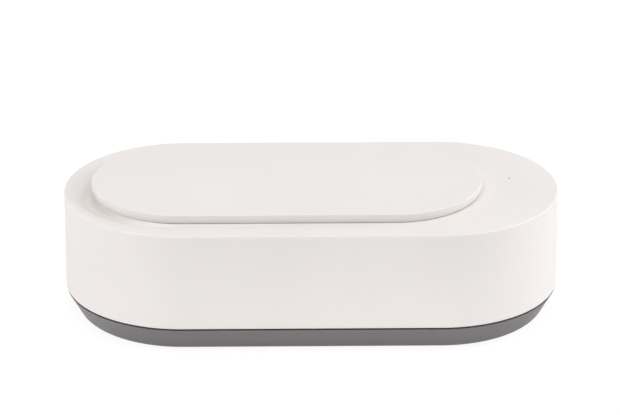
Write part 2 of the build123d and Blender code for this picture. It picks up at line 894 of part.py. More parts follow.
def lens_basket():
    plate = oval(basket_length, basket_width, tank_x, basket_floor)
    inside = oval(basket_length - 2 * basket_rim_wall, basket_width - 2 * basket_rim_wall, tank_x, well_floor)
    basket = raise_to(plate, basket_plate + basket_rim) - raise_to(inside, 2 * basket_rim)
    basket -= basket_end_slots()
    for x in well_spots.values():
        basket += well(x)
    for x in well_spots.values():
        basket -= well_drains(x)
    for x in (tank_x - basket_foot_x, tank_x + basket_foot_x):
        for y in (-basket_foot_y, basket_foot_y):
            basket += post(x, y, tank_floor_height, well_floor, basket_foot_radius)
    return basket + basket_grip()


def lens_cap(x):
    """A perforated cap with its knuckle, spigot and thumb tab."""
    outer = well_radius + well_wall
    cap = post(x, 0, cap_bottom, cap_bottom + cap_thickness, outer)
    cap += block(x, -outer, cap_bottom, cap_tab_width, 2 * cap_tab_length, cap_thickness)
    web = hinge_offset - outer / 2
    cap += block(x, outer / 2 + web / 2, cap_bottom, knuckle_width, web, cap_thickness)
    spigot_radius = well_radius - cap_clearance
    low = cap_bottom - cap_spigot
    cap += post(x, 0, low, cap_bottom + 0.1, spigot_radius)
    cap -= post(x, 0, low - 1, cap_bottom, spigot_radius - cap_spigot_wall)
    cap += hinge_bar(x, 0, knuckle_width, knuckle_radius)
    cap -= hinge_bar(x, 0, 2 * knuckle_width, hinge_pin_radius + hinge_running)
    for index in range(7):
        reach = drain_ring if index else 0
        angle = radians(60 * index)
        hole_x = x + reach * cos(angle)
        cap -= post(hole_x, reach * sin(angle), cap_bottom - 1, cap_bottom + cap_thickness + 1, drain_radius)
    return cap


def cap_pins():
    length = knuckle_width + 2 * (ear_gap + ear_thickness)
    return [hinge_bar(x, 0, length, hinge_pin_radius) for x in well_spots.values()]


# ---- Inner leads ----
def piezo_leads():
    x, y = connector_spots["piezo"]
    high = piezo_bottom - piezo_wire_radius
    leads = []
    for side in (-1, 1):
        lane = y + side * connector_width / 6
        points = [
            (tank_x, side * piezo_pad_offset, high),
            (x - connector_length, lane, high),
            (x, lane, high),
            (x, lane, plug_depth),
        ]
        leads.append(tube_along(points, [piezo_lead_bend, plug_bend], piezo_wire_radius))
    return leads


def socket_leads():
    x, y = connector_spots["socket"]
    tip_y = outer_wall_y - socket_depth - socket_tab
    high = tank_under - lead_clearance - socket_wire_radius
    leads = []
    for side in (-1, 1):
        tab_x = socket_x + side * socket_thread_radius / 2
        lane = x + side * connector_length / 5
        points = [
            (tab_x, tip_y, socket_z),
            (tab_x, tip_y - lead_clearance, socket_z),
            (tab_x, tip_y - lead_clearance, high),
            (lane, y, high),
            (lane, y, plug_depth),
        ]
        leads.append(tube_along(points, [plug_bend, socket_lead_bend, plug_bend], socket_wire_radius))
    return leads


def control_lead():
    x, y = connector_spots["control"]
    top = control_board_top - control_board_thickness
    start_x = control_board_x - control_lead_offset
    points = [
        (start_x, y + control_lead_shift, top),
        (start_x, y + control_lead_shift, top - control_lead_drop),
        (x, y, top - control_lead_drop - control_lead_slope),
        (x, y, plug_depth),
    ]
    return tube_along(points, [control_lead_bend, control_lead_bend], control_wire_radius)


# ---- One STEP file per piece ----
pieces = {
    "body_shell": body_shell,
    "base_tray": base_tray,
    "rubber_feet": rubber_feet,
    "base_screws": base_screws,
    "tank": tank,
    "tank_gasket": tank_gasket,
    "clamp_frame": clamp_frame,
    "clamp_screws": clamp_screws,
    "bond_pad": bond_pad,
    "piezo_disc": piezo_disc,
    "main_board": main_board,
    "board_screws": board_screws,
    "heat_sink": heat_sink,
    "power_transistors": power_transistors,
    "transformer_core": transformer_core,
    "transformer_winding": transformer_winding,
    "filter_capacitors": filter_capacitors,
    "drum_inductor": drum_inductor,
    "controller_chip": controller_chip,
    "board_connectors": board_connectors,
    "control_board": control_board,
    "control_screws": control_screws,
    "touch_pad": touch_pad,
    "indicator_led": indicator_led,
    "light_pipe": light_pipe,
    "power_socket": power_socket,
    "socket_pin": socket_pin,
    "socket_nut": socket_nut,
    "piezo_leads": piezo_leads,
    "socket_leads": socket_leads,
    "control_lead": control_lead,
    "lid_cover": lid_cover,
    "lid_liner": lid_liner,
    "lid_seal": lid_seal,
    "lens_basket": lens_basket,
    "cap_pins": cap_pins,
}

os.makedirs("parts", exist_ok=True)
for name, make in pieces.items():
    shape = make()
    if isinstance(shape, list):
        shape = Compound(children=[solid for part in shape for solid in part.solids()])
    export_step(shape, f"parts/{name}.step")
for side, x in well_spots.items():
    export_step(lens_cap(x), f"parts/lens_cap_{side}.step")
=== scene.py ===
"""Looks of a long stadium-shaped contact lens cleaner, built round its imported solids."""

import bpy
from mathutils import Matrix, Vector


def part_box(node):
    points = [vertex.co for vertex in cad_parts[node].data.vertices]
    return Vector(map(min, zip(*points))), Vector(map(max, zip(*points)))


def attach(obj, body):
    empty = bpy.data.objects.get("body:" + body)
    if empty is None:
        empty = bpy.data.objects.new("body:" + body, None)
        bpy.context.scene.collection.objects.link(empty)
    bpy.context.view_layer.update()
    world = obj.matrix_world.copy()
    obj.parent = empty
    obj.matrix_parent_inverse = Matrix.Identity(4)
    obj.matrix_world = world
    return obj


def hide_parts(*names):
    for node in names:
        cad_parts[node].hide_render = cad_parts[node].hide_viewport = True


bl_info = {
    "name": "Lens Cleaner",
    "version": (1, 0, 0),
    "blender": (4, 5, 0),
    "location": "3D Viewport > Sidebar > Lens Cleaner",
    "description": "Moulded housing, lid, bath and lens basket of a contact lens cleaner",
    "category": "Object",
}

from collections import namedtuple
from math import acos, asin, cos, degrees, exp, hypot, log, pi, radians, sin, sqrt

import bmesh
import bpy
from bpy.props import FloatProperty, FloatVectorProperty, PointerProperty
from mathutils import Matrix, Vector

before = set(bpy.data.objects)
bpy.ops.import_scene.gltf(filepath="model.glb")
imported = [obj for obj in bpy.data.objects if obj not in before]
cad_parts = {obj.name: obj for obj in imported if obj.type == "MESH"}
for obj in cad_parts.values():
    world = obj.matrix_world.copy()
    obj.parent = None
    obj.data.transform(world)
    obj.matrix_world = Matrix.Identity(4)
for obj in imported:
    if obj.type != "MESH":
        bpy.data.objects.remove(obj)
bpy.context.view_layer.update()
shell_low, shell_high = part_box("body_shell")
lid_low, lid_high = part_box("lid_cover")
tank_low, tank_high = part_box("tank")
light_low, light_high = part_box("light_pipe")

# How finely the shapes are divided
SHELL_SEGMENTS = 192
TANK_SEGMENTS = 160
SOCKET_SEGMENTS = 64
LIGHT_SEGMENTS = 32
DECK_STEPS = 30
UNDER_DECK_STEPS = 10
KNEE_STEPS = 12

# Noise patterns, in repeats a metre
TONE_SCALE = 22.0
GLOSS_SCALE = 140.0
DUST_SCALE = 300.0
CLEAR_SCALE = 900.0
RUBBER_GRAIN = 1800.0

# What the patterns change: added to the roughness, or times the colour
GLOSS_SWING = 0.03
POLISHED_GLOSS = 0.05
WORN_GLOSS = 0.08
METAL_DARK = 0.93
METAL_LIGHT = 1.05
RUBBER_DARK = 0.85
DUST_LIGHT = 1.2
SOFT_SPECULAR = 0.35  # plastics and rubber shine less than clear coats


# ---- Settings ----
def length(name, default, description):
    """A size in metres."""
    return FloatProperty(
        name=name, description=description, default=default, min=0.0, unit="LENGTH", precision=5
    )


def power(name, default, description):
    """A lamp's power in watts."""
    return FloatProperty(name=name, description=description, default=default, min=0.0, unit="POWER")


def share(name, default, description):
    """A share from 0 to 1."""
    return FloatProperty(
        name=name, description=description, default=default, min=0.0, max=1.0, subtype="FACTOR"
    )


def colour(name, default, description):
    """A linear colour."""
    return FloatVectorProperty(
        name=name, description=description, default=default, size=3, min=0.0, max=1.0, subtype="COLOR"
    )


class HousingSettings(bpy.types.PropertyGroup):
    """Sizes and colours of the upper shell and the base tray."""

    deck: length("Deck height", 0.0535, "Height of the flat top round the lid")
    wall: length("Wall", 0.0024, "Thickness of the side wall")
    deck_wall: length("Deck wall", 0.0026, "Thickness of the top")
    rim: length("Rim radius", 0.0006, "Round along the shell's top edge")
    inner_rim: length("Inner rim radius", 0.0012, "Round along the same edge inside")
    lip: length("Lip radius", 0.0006, "Round along the shell's lower edge")
    collar_out: length("Collar outset", 0.0005, "How far the collar stands out from the tank's flange")
    collar_wall: length("Collar wall", 0.0025, "Thickness of the collar round the bath")
    collar_round: length("Collar round", 0.0004, "Round along the collar's top")
    skirt: length("Skirt depth", 0.0070, "How far the collar reaches below the deck")
    scoop_reach: length("Scoop reach", 0.0394, "Radius of the scoop's middle line about the end's centre")
    scoop_depth: length("Scoop depth", 0.0038, "Depth of the scoop at the left end")
    scoop_hollow: length("Scoop hollow radius", 0.0030, "Radius of the scoop's round bottom")
    scoop_shoulder: length("Scoop shoulder radius", 0.0120, "Radius of its soft outer shoulder")
    scoop_rise: length("Scoop shoulder rise", 0.00515, "Height of the shoulder over the bottom")
    scoop_blend: length("Scoop blend", 0.00010, "Softness of the scoop's edge")
    socket_step: length("Socket counterbore", 0.0012, "Depth of the counterbore round the power socket")
    socket_thread: length("Socket thread", 0.0040, "Radius of the power socket's thread")
    socket_gap: length("Socket gap", 0.0001, "Clearance round the power socket")
    light_radius: length("Light radius", 0.0005, "Radius of the indicator light's lens")
    light_crown: length("Light crown", 0.00005, "How far the face of that lens swells")
    light: colour("Light colour", (0.55, 0.55, 0.56), "Clear acrylic of the light's lens")
    white: colour("Shell colour", (0.808, 0.772, 0.750), "Warm white plastic of the shell")
    grey: colour("Tray colour", (0.180, 0.167, 0.172), "Grey plastic of the base tray")
    rubber: colour("Foot colour", (0.03, 0.03, 0.03), "Rubber of the feet")


class LidSettings(bpy.types.PropertyGroup):
    """Sizes and colours of the lid."""

    edge: length("Edge", 0.0022, "Thickness of the lid's plate")
    drip_drop: length("Drip edge drop", 0.0018, "How far the edge hangs below the plate")
    drip_width: length("Drip edge width", 0.0011, "From the lid's side to the hanging edge's inner face")
    drip_inset: length("Drip lip inset", 0.00095, "How far the edge's lip stands in from the lid's side")
    skin: length("Skin", 0.0014, "Thickness between the ribs")
    top_round: length("Top round", 0.0005, "Round along the top edge")
    under_round: length("Under round", 0.0034, "Radius that carries the side in to the lip")
    rib_inset: length("Rib inset", 0.0023, "How far the locating rib stands in from the tank's flange")
    rib: length("Rib", 0.0015, "Thickness of the locating rib")
    white: colour("Lid colour", (0.80, 0.765, 0.765), "Cool white plastic of the lid")
    liner: colour("Liner colour", (0.62, 0.62, 0.61), "Pale liner under the lid")
    seal: colour("Seal colour", (0.30, 0.30, 0.295), "Grey silicone of the seal")


class BathSettings(bpy.types.PropertyGroup):
    """Sizes and colours of the tank."""

    wall: length("Tank wall", 0.0008, "Thickness of the drawn steel")
    inset: length("Tank inset", 0.0035, "How far the tank's wall stands in from its flange")
    draft: length("Draft", 0.0015, "How much the tank narrows towards its floor")
    bottom_round: length("Bottom round", 0.0090, "Round between wall and floor")
    mouth_round: length("Mouth round", 0.0008, "Round between flange and wall")
    steel: colour("Steel colour", (0.62, 0.62, 0.63), "Drawn stainless steel")


class BasketSettings(bpy.types.PropertyGroup):
    """Colours of the lens basket."""

    basket: colour("Basket colour", (0.60, 0.70, 0.74), "Pale blue plastic of the basket")
    cap: colour("Cap colour", (0.26, 0.50, 0.60), "Blue plastic of the caps")
    pin: colour("Pin colour", (0.66, 0.66, 0.64), "Steel of the hinge pins and of the power socket's pin")


class InnerSettings(bpy.types.PropertyGroup):
    """Colours of the electronics, fasteners and leads."""

    zinc: colour("Screw colour", (0.60, 0.60, 0.58), "Zinc-plated steel of the screws")
    clamp: colour("Clamp frame colour", (0.45, 0.45, 0.44), "Grey plastic of the clamp frame")
    epoxy: colour("Bond colour", (0.08, 0.05, 0.02), "Epoxy under the transducer")
    ceramic: colour("Transducer colour", (0.46, 0.41, 0.30), "Fired piezo ceramic")
    mask: colour("Board colour", (0.01, 0.12, 0.04), "Solder mask of the boards")
    aluminium: colour("Heat sink colour", (0.70, 0.71, 0.72), "Extruded aluminium")
    chip: colour("Chip colour", (0.015, 0.015, 0.016), "Moulded bodies of chips and transistors")
    ferrite: colour("Ferrite colour", (0.03, 0.03, 0.032), "Cores of the transformer and the inductor")
    winding: colour("Winding colour", (0.62, 0.26, 0.08), "Enamelled copper wire")
    sleeve: colour("Sleeve colour", (0.02, 0.03, 0.06), "Shrunk sleeves of the capacitors")
    nylon: colour("Connector colour", (0.62, 0.58, 0.48), "Nylon of the connectors")
    foam: colour("Foam colour", (0.03, 0.03, 0.03), "Conductive foam of the touch pad")
    resin: colour("Indicator colour", (0.85, 0.85, 0.78), "Resin of the light-emitting diode")
    socket: colour("Socket colour", (0.02, 0.02, 0.02), "Black plastic of the power socket")
    brass: colour("Nut colour", (0.62, 0.55, 0.40), "Nickel-plated brass of the socket's nut")
    insulation: colour("Lead colour", (0.30, 0.02, 0.015), "Red insulation of the leads")


class StageSettings(bpy.types.PropertyGroup):
    """Camera, light and floor."""

    camera_distance: length("Camera distance", 1.71414, "From the camera to the point it circles")
    camera_pivot: length("Pivot height", 0.0290, "Height of the point that the camera circles")
    camera_azimuth: FloatProperty(
        name="Azimuth", description="Angle round the device", default=radians(-0.598), subtype="ANGLE"
    )
    camera_elevation: FloatProperty(
        name="Elevation", description="Angle above the table", default=radians(24.067), subtype="ANGLE"
    )
    camera_roll: FloatProperty(
        name="Roll", description="Tilt of the view", default=radians(-0.081), subtype="ANGLE"
    )
    aim_x: FloatProperty(
        name="Aim across", description="Sideways place of the aim", default=-0.000494, unit="LENGTH"
    )
    aim_z: FloatProperty(
        name="Aim height", description="Height of the aim", default=0.044640, unit="LENGTH"
    )
    lens: FloatProperty(name="Lens", description="Focal length", default=238.32, min=1.0, unit="CAMERA")
    floor: length("Floor side", 6.0, "Side of the square floor")
    floor_bounce: share("Floor bounce", 0.86, "Tone of the floor in the light that it throws back")
    floor_shade: share("Floor shade", 0.12, "Part of the floor's seen tone that takes shadows")
    floor_glow: share("Floor glow", 0.92, "Part of the floor's seen tone that stays even")
    sky: share("Sky", 0.43, "Strength of the even light from all round")
    key_power: power("Key", 10.35, "Power of the lamp overhead")
    right_power: power("Right", 9.8, "Power of the lamp on the right")
    left_power: power("Left", 5.8, "Power of the lamp on the left")
    front_power: power("Front", 1.6, "Power of the lamp in front")
    low_power: power("Low", 0.0053, "Power of the low strip in front")


# ---- Materials ----
def new_material(name):
    """An empty node material with its shader and object coordinates."""
    material = bpy.data.materials.new(name)
    material.use_nodes = True
    nodes = material.node_tree.nodes
    shader = nodes["Principled BSDF"]
    place = nodes.new("ShaderNodeTexCoord")
    return material, shader, place.outputs["Object"]


def noise(material, place, scale, detail=3.0, stretch=(1.0, 1.0, 1.0)):
    """A noise pattern on the piece, its scale in repeats a metre."""
    nodes, links = material.node_tree.nodes, material.node_tree.links
    mapping = nodes.new("ShaderNodeMapping")
    mapping.inputs["Scale"].default_value = stretch
    links.new(place, mapping.inputs["Vector"])
    texture = nodes.new("ShaderNodeTexNoise")
    texture.inputs["Scale"].default_value = scale
    texture.inputs["Detail"].default_value = detail
    links.new(mapping.outputs["Vector"], texture.inputs["Vector"])
    return texture.outputs["Fac"]


def spread(material, value, low, high):
    """The pattern's middle range mapped between two values."""
    node = material.node_tree.nodes.new("ShaderNodeMapRange")
    node.inputs["From Min"].default_value = 0.3
    node.inputs["From Max"].default_value = 0.7
    node.inputs["To Min"].default_value = low
    node.inputs["To Max"].default_value = high
    material.node_tree.links.new(value, node.inputs["Value"])
    return node.outputs["Result"]


def tint(material, value, colour_low, colour_high):
    """A colour that follows the pattern."""
    node = material.node_tree.nodes.new("ShaderNodeMix")
    node.data_type = "RGBA"
    node.inputs["A"].default_value = (*colour_low, 1.0)
    node.inputs["B"].default_value = (*colour_high, 1.0)
    material.node_tree.links.new(value, node.inputs["Factor"])
    return node.outputs["Result"]


def bump(material, shader, value, strength, distance):
    """Relief from the pattern."""
    node = material.node_tree.nodes.new("ShaderNodeBump")
    node.inputs["Strength"].default_value = strength
    node.inputs["Distance"].default_value = distance
    material.node_tree.links.new(value, node.inputs["Height"])
    material.node_tree.links.new(node.outputs["Normal"], shader.inputs["Normal"])


def shade(base, factor):
    """A colour made darker or lighter."""
    return tuple(min(1.0, channel * factor) for channel in base)


def moulded(name, base, roughness, grain, relief, swing=0.012):
    """Moulded plastic: faint tone changes, uneven gloss and a fine grain."""
    material, shader, place = new_material(name)
    links = material.node_tree.links
    broad = spread(material, noise(material, place, TONE_SCALE, detail=2.0), 0.0, 1.0)
    tone = tint(material, broad, shade(base, 1 - swing), shade(base, 1 + swing))
    links.new(tone, shader.inputs["Base Color"])
    gloss = spread(
        material, noise(material, place, GLOSS_SCALE), roughness - GLOSS_SWING, roughness + GLOSS_SWING
    )
    links.new(gloss, shader.inputs["Roughness"])
    shader.inputs["Specular IOR Level"].default_value = SOFT_SPECULAR
    bump(material, shader, noise(material, place, grain, detail=4.0), strength=0.35, distance=relief)
    return material


def rubbery(name, base):
    """Matte rubber or silicone with a dusty sheen."""
    material, shader, place = new_material(name)
    links = material.node_tree.links
    dust = spread(material, noise(material, place, DUST_SCALE, detail=5.0), 0.0, 1.0)
    tone = tint(material, dust, shade(base, RUBBER_DARK), shade(base, DUST_LIGHT))
    links.new(tone, shader.inputs["Base Color"])
    shader.inputs["Roughness"].default_value = 0.75
    shader.inputs["Specular IOR Level"].default_value = SOFT_SPECULAR
    grain = noise(material, place, RUBBER_GRAIN, detail=4.0)
    bump(material, shader, grain, strength=0.4, distance=0.00004)
    return material


def metal(name, base, roughness, stretch=(1.0, 1.0, 1.0), grain=900.0, relief=0.00002):
    """Plated, cast or brushed metal; stretch draws the grain out along an axis."""
    material, shader, place = new_material(name)
    links = material.node_tree.links
    shader.inputs["Metallic"].default_value = 1.0
    lines = noise(material, place, grain, detail=4.0, stretch=stretch)
    marks = spread(material, lines, 0.0, 1.0)
    tone = tint(material, marks, shade(base, METAL_DARK), shade(base, METAL_LIGHT))
    links.new(tone, shader.inputs["Base Color"])
    gloss = spread(material, lines, roughness - POLISHED_GLOSS, roughness + WORN_GLOSS)
    links.new(gloss, shader.inputs["Roughness"])
    bump(material, shader, lines, strength=0.3, distance=relief)
    return material


def clear(name, base, roughness):
    """A clear moulding such as the light pipe."""
    material, shader, place = new_material(name)
    links = material.node_tree.links
    shader.inputs["Base Color"].default_value = (*base, 1.0)
    shader.inputs["Transmission Weight"].default_value = 0.6
    shader.inputs["IOR"].default_value = 1.49
    gloss = spread(material, noise(material, place, CLEAR_SCALE), roughness, roughness + WORN_GLOSS)
    links.new(gloss, shader.inputs["Roughness"])
    return material


# ---- Shapes used again and again ----
Oval = namedtuple("Oval", "half radius x z")
ROUND = Oval(0.0, 1.0, 0.0, 0.0)


def oval_in_box(low, high, inset, z):
    """The stadium that fills a box seen from above, moved in by inset."""
    radius = (high.y - low.y) / 2
    half = (high.x - low.x) / 2 - radius
    return Oval(half, radius - inset, (low.x + high.x) / 2, z)


def between(first, last, steps):
    """Ovals evenly spaced from first to last, without first."""
    ovals = []
    for step in range(1, steps + 1):
        part = step / steps
        ovals.append(Oval(*(a + (b - a) * part for a, b in zip(first, last))))
    return ovals


def corner(oval, inset, drop, radius, steps, start, turn):
    """Ovals round a quarter circle: its centre lies inset inwards and drop down from the oval."""
    ovals = []
    for step in range(steps + 1):
        angle = radians(start + turn * step / steps)
        outwards = radius * cos(angle) - inset
        ovals.append(Oval(oval.half, oval.radius + outwards, oval.x, oval.z - drop + radius * sin(angle)))
    return ovals


def lay(verts, was, oval):
    """Moves verts from one stadium to another, each along its own spoke."""
    for vert in verts:
        side = 1 if vert.co.x > was.x else -1
        spoke = Vector((vert.co.x - was.x - side * was.half, vert.co.y, 0)).normalized()
        vert.co = Vector((oval.x + side * oval.half, 0, oval.z)) + spoke * oval.radius


def loft(bm, ovals, segments, closed=False, start_cap=False, end_cap=False):
    """A skin through stadiums one after another. Returns the verts of each."""
    ring = bmesh.ops.create_circle(bm, segments=segments, radius=1.0)["verts"]
    bmesh.ops.rotate(bm, verts=ring, cent=(0, 0, 0), matrix=Matrix.Rotation(pi / segments, 3, "Z"))
    lay(ring, ROUND, ovals[0])
    edges = list({edge for vert in ring for edge in vert.link_edges})
    first_edges = edges
    rings = [ring]
    if start_cap:
        bmesh.ops.contextual_create(bm, geom=edges)
    for was, oval in zip(ovals, ovals[1:]):
        made = bmesh.ops.extrude_edge_only(bm, edges=edges)["geom"]
        ring = [item for item in made if isinstance(item, bmesh.types.BMVert)]
        members = set(ring)
        edges = [e for e in made if isinstance(e, bmesh.types.BMEdge) and set(e.verts) <= members]
        lay(ring, was, oval)
        rings.append(ring)
    if end_cap:
        bmesh.ops.contextual_create(bm, geom=edges)
    if closed:
        bmesh.ops.bridge_loops(bm, edges=first_edges + edges)
    return rings


def turned(bm, profile, centre, axis, steps):
    """A body of revolution: the profile's points are (distance from the axis, height along it)."""
    axis = Vector(axis)
    across = axis.orthogonal().normalized()
    verts = [bm.verts.new(Vector(centre) + across * reach + axis * height) for reach, height in profile]
    edges = [bm.edges.new(pair) for pair in zip(verts, verts[1:])]
    bmesh.ops.spin(
        bm,
        geom=verts + edges,
        cent=centre,
        axis=axis,
        angle=2 * pi,
        steps=steps,
        use_merge=True,
        use_duplicate=False,
    )
    bmesh.ops.remove_doubles(bm, verts=bm.verts, dist=1e-7)


def arc(reach, height, radius, start, turn, steps):
    """Profile points round an arc about (reach, height)."""
    points = []
    for step in range(steps + 1):
        angle = radians(start + turn * step / steps)
        points.append((reach + radius * cos(angle), height + radius * sin(angle)))
    return points


def add_piece(name, bm, body, material, replaced=(), crease=35.0):
    """Makes the object of a finished mesh and lets it ride on its body."""
    bmesh.ops.recalc_face_normals(bm, faces=bm.faces)
    mesh = bpy.data.meshes.new(name)
    bm.to_mesh(mesh)
    bm.free()
    mesh.shade_smooth()
    mesh.set_sharp_from_angle(angle=radians(crease))
    mesh.materials.append(material)
    piece = bpy.data.objects.new(name, mesh)
    bpy.context.scene.collection.objects.link(piece)
    weighting = piece.modifiers.new("Face weighted normals", "WEIGHTED_NORMAL")
    weighting.keep_sharp = True
    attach(piece, body)
    if replaced:
        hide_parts(*replaced)
    return piece


def dress(material, *nodes):
    """Gives solids that keep their own shape a better finish."""
    for node in nodes:
        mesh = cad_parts[node].data
        mesh.materials.clear()
        mesh.materials.append(material)


# ---- Upper shell ----
def scoop_section(reach, housing):
    """Height of the scoop's section over its bottom, at a distance from the ring's axis."""
    hollow, shoulder = housing.scoop_hollow, housing.scoop_shoulder
    across = reach - housing.scoop_reach
    climb = hollow - (housing.scoop_rise - shoulder)
    run = sqrt((hollow + shoulder) ** 2 - climb**2)
    if across <= -hollow:
        return shell_high.z
    if across <= run * hollow / (hollow + shoulder):
        return hollow - sqrt(hollow**2 - across**2)
    if across <= run:
        return housing.scoop_rise - shoulder + sqrt(shoulder**2 - (across - run) ** 2)
    return housing.scoop_rise


def scoop_dip(x, y, housing):
    """How far the deck sinks at a point: a tilted ring-shaped hollow that is deepest at the left end."""
    end_x = -((shell_high.x - shell_low.x) - (shell_high.y - shell_low.y)) / 2
    if x > end_x:
        return 0.0
    tilt = asin(housing.scoop_depth / housing.scoop_reach)
    along = x - end_x
    dip = 0.0
    for _ in range(4):  # the height found sharpens the distance from the axis, and so the height
        reach = hypot(along * cos(tilt) + dip * sin(tilt), y)
        dip = (scoop_section(reach, housing) + along * sin(tilt)) / cos(tilt)
    blend = housing.scoop_blend
    if dip > 20 * blend:  # far outside the scoop
        return 0.0
    return -blend * log(1 + exp(-dip / blend))


def socket_hole(bm, housing):
    """A stepped round hole through the rear wall for the power socket."""
    low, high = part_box("power_socket")
    centre = Vector(((low.x + high.x) / 2, shell_high.y, (low.z + high.z) / 2))
    step_radius = (high.x - low.x) / 2 + housing.socket_gap
    thread_radius = housing.socket_thread + housing.socket_gap
    step_y, inner_y = shell_high.y - housing.socket_step, shell_high.y - housing.wall
    whole_wall = 0.002  # square metres; no other flat face is as large
    flat = [face for face in bm.faces if abs(face.normal.y) > 0.99 and face.calc_area() > whole_wall]
    flat = [face for face in flat if face.calc_center_median().y > 0]
    flat.sort(key=lambda face: face.calc_center_median().y)
    inner_edges, outer_edges = list(flat[0].edges), list(flat[-1].edges)
    bmesh.ops.delete(bm, geom=[flat[0], flat[-1]], context="FACES_ONLY")
    turn = Matrix.Translation(centre) @ Matrix.Rotation(pi / 2, 4, "X")
    ring = bmesh.ops.create_circle(bm, segments=SOCKET_SEGMENTS, radius=step_radius, matrix=turn)["verts"]
    edges = list({edge for vert in ring for edge in vert.link_edges})
    bmesh.ops.triangle_fill(bm, edges=outer_edges + edges, use_beauty=True)
    for radius, y in ((step_radius, step_y), (thread_radius, step_y), (thread_radius, inner_y)):
        made = bmesh.ops.extrude_edge_only(bm, edges=edges)["geom"]
        ring = [item for item in made if isinstance(item, bmesh.types.BMVert)]
        members = set(ring)
        edges = [e for e in made if isinstance(e, bmesh.types.BMEdge) and set(e.verts) <= members]
        for vert in ring:
            spoke = Vector((vert.co.x - centre.x, 0, vert.co.z - centre.z)).normalized()
            vert.co = Vector((centre.x, y, centre.z)) + spoke * radius
    bmesh.ops.triangle_fill(bm, edges=inner_edges + edges, use_beauty=True)


class CLEANER_OT_shell(bpy.types.Operator):
    """Models the upper shell: collar, deck with finger scoop, rim, wall and lip"""

    bl_idname = "cleaner.shell"
    bl_label = "Make upper shell"

    def execute(self, context):
        housing = context.scene.cleaner_housing
        bm = bmesh.new()
        skirt_bottom = housing.deck - housing.skirt
        foot_inset = -housing.collar_out
        mouth_inset = foot_inset + housing.collar_wall
        collar_top = shell_high.z
        soft = housing.collar_round
        mouth = oval_in_box(tank_low, tank_high, mouth_inset, skirt_bottom)
        collar_in = oval_in_box(tank_low, tank_high, mouth_inset, collar_top)
        collar_out = oval_in_box(tank_low, tank_high, foot_inset, collar_top)
        foot = collar_out._replace(z=housing.deck)
        deck_edge = oval_in_box(shell_low, shell_high, housing.rim, housing.deck)
        side = oval_in_box(shell_low, shell_high, 0.0, housing.deck)
        low = side._replace(z=shell_low.z)
        under = oval_in_box(shell_low, shell_high, housing.wall, housing.deck - housing.deck_wall)
        ovals = [mouth]
        ovals += corner(collar_in, -soft / 2, soft / 2, soft / 2, steps=3, start=180, turn=-90)
        ovals += corner(collar_out, soft, soft, soft, steps=4, start=90, turn=-90)
        deck_start = len(ovals)
        ovals += [foot] + between(foot, deck_edge, DECK_STEPS)
        deck_end = len(ovals)
        rim = housing.rim
        ovals += corner(side, rim, rim, rim, steps=9, start=90, turn=-90)[1:]
        ovals += corner(low, housing.lip, -housing.lip, housing.lip, steps=5, start=0, turn=-90)
        ovals.append(low._replace(radius=low.radius - housing.wall))
        inner_rim = housing.inner_rim
        ovals += corner(under, inner_rim, inner_rim, inner_rim, steps=3, start=0, turn=90)
        under_start = len(ovals) - 1
        root = foot._replace(z=under.z)
        ovals += between(ovals[-1], root, UNDER_DECK_STEPS)
        under_end = len(ovals)
        ovals.append(root._replace(z=skirt_bottom))
        rings = loft(bm, ovals, SHELL_SEGMENTS, closed=True)
        for ring in rings[deck_start:deck_end] + rings[under_start:under_end]:
            for vert in ring:
                vert.co.z += scoop_dip(vert.co.x, vert.co.y, housing)
        bmesh.ops.recalc_face_normals(bm, faces=bm.faces)
        socket_hole(bm, housing)
        white = moulded("shell_plastic", housing.white, roughness=0.46, grain=1500.0, relief=0.000012)
        add_piece("upper_shell", bm, "housing", white, ["body_shell"])
        return {"FINISHED"}


class CLEANER_OT_lid(bpy.types.Operator):
    """Models the lift-off lid's flat plate and locating rib, and finishes its liner and seal"""

    bl_idname = "cleaner.lid"
    bl_label = "Make lid"

    def execute(self, context):
        lid = context.scene.cleaner_lid
        bm = bmesh.new()
        top = oval_in_box(lid_low, lid_high, 0.0, lid_high.z)
        bottom_z = lid_high.z - lid.edge
        lip_z = bottom_z - lid.drip_drop
        turn = acos(1 - lid.drip_inset / lid.under_round)
        bend = top._replace(z=lip_z + lid.under_round * sin(turn))
        drip_in = oval_in_box(lid_low, lid_high, lid.drip_width, bottom_z)
        rib_out = oval_in_box(tank_low, tank_high, lid.rib_inset, bottom_z)
        rib_in = oval_in_box(tank_low, tank_high, lid.rib_inset + lid.rib, bottom_z)
        tip = lid.rib / 4
        ovals = corner(top, lid.top_round, lid.top_round, lid.top_round, steps=6, start=90, turn=-90)
        ovals += corner(bend, lid.under_round, 0, lid.under_round, steps=8, start=0, turn=-degrees(turn))
        ovals += [drip_in._replace(z=lip_z), drip_in, rib_out]
        ovals += corner(rib_out._replace(z=lid_low.z), tip, -tip, tip, steps=3, start=0, turn=-90)
        ovals += corner(rib_in._replace(z=lid_low.z), -tip, -tip, tip, steps=3, start=270, turn=-90)
        ovals.append(rib_in._replace(z=lid_high.z - lid.skin))
        loft(bm, ovals, SHELL_SEGMENTS, start_cap=True, end_cap=True)
        white = moulded("lid_plastic", lid.white, roughness=0.46, grain=1700.0, relief=0.000010)
        add_piece("lid_plate", bm, "lid", white, ["lid_cover"])
        liner = moulded("liner_plastic", lid.liner, roughness=0.5, grain=1500.0, relief=0.00002)
        dress(liner, "lid_liner")
        dress(rubbery("seal_silicone", lid.seal), "lid_seal", "tank_gasket")
        return {"FINISHED"}


class CLEANER_OT_tray(bpy.types.Operator):
    """Finishes the base tray and its feet"""

    bl_idname = "cleaner.tray"
    bl_label = "Make base tray"

    def execute(self, context):
        housing = context.scene.cleaner_housing
        tray = moulded("tray_plastic", housing.grey, roughness=0.48, grain=1200.0, relief=0.00002)
        dress(tray, "base_tray")
        dress(rubbery("foot_rubber", housing.rubber), "rubber_feet")
        return {"FINISHED"}


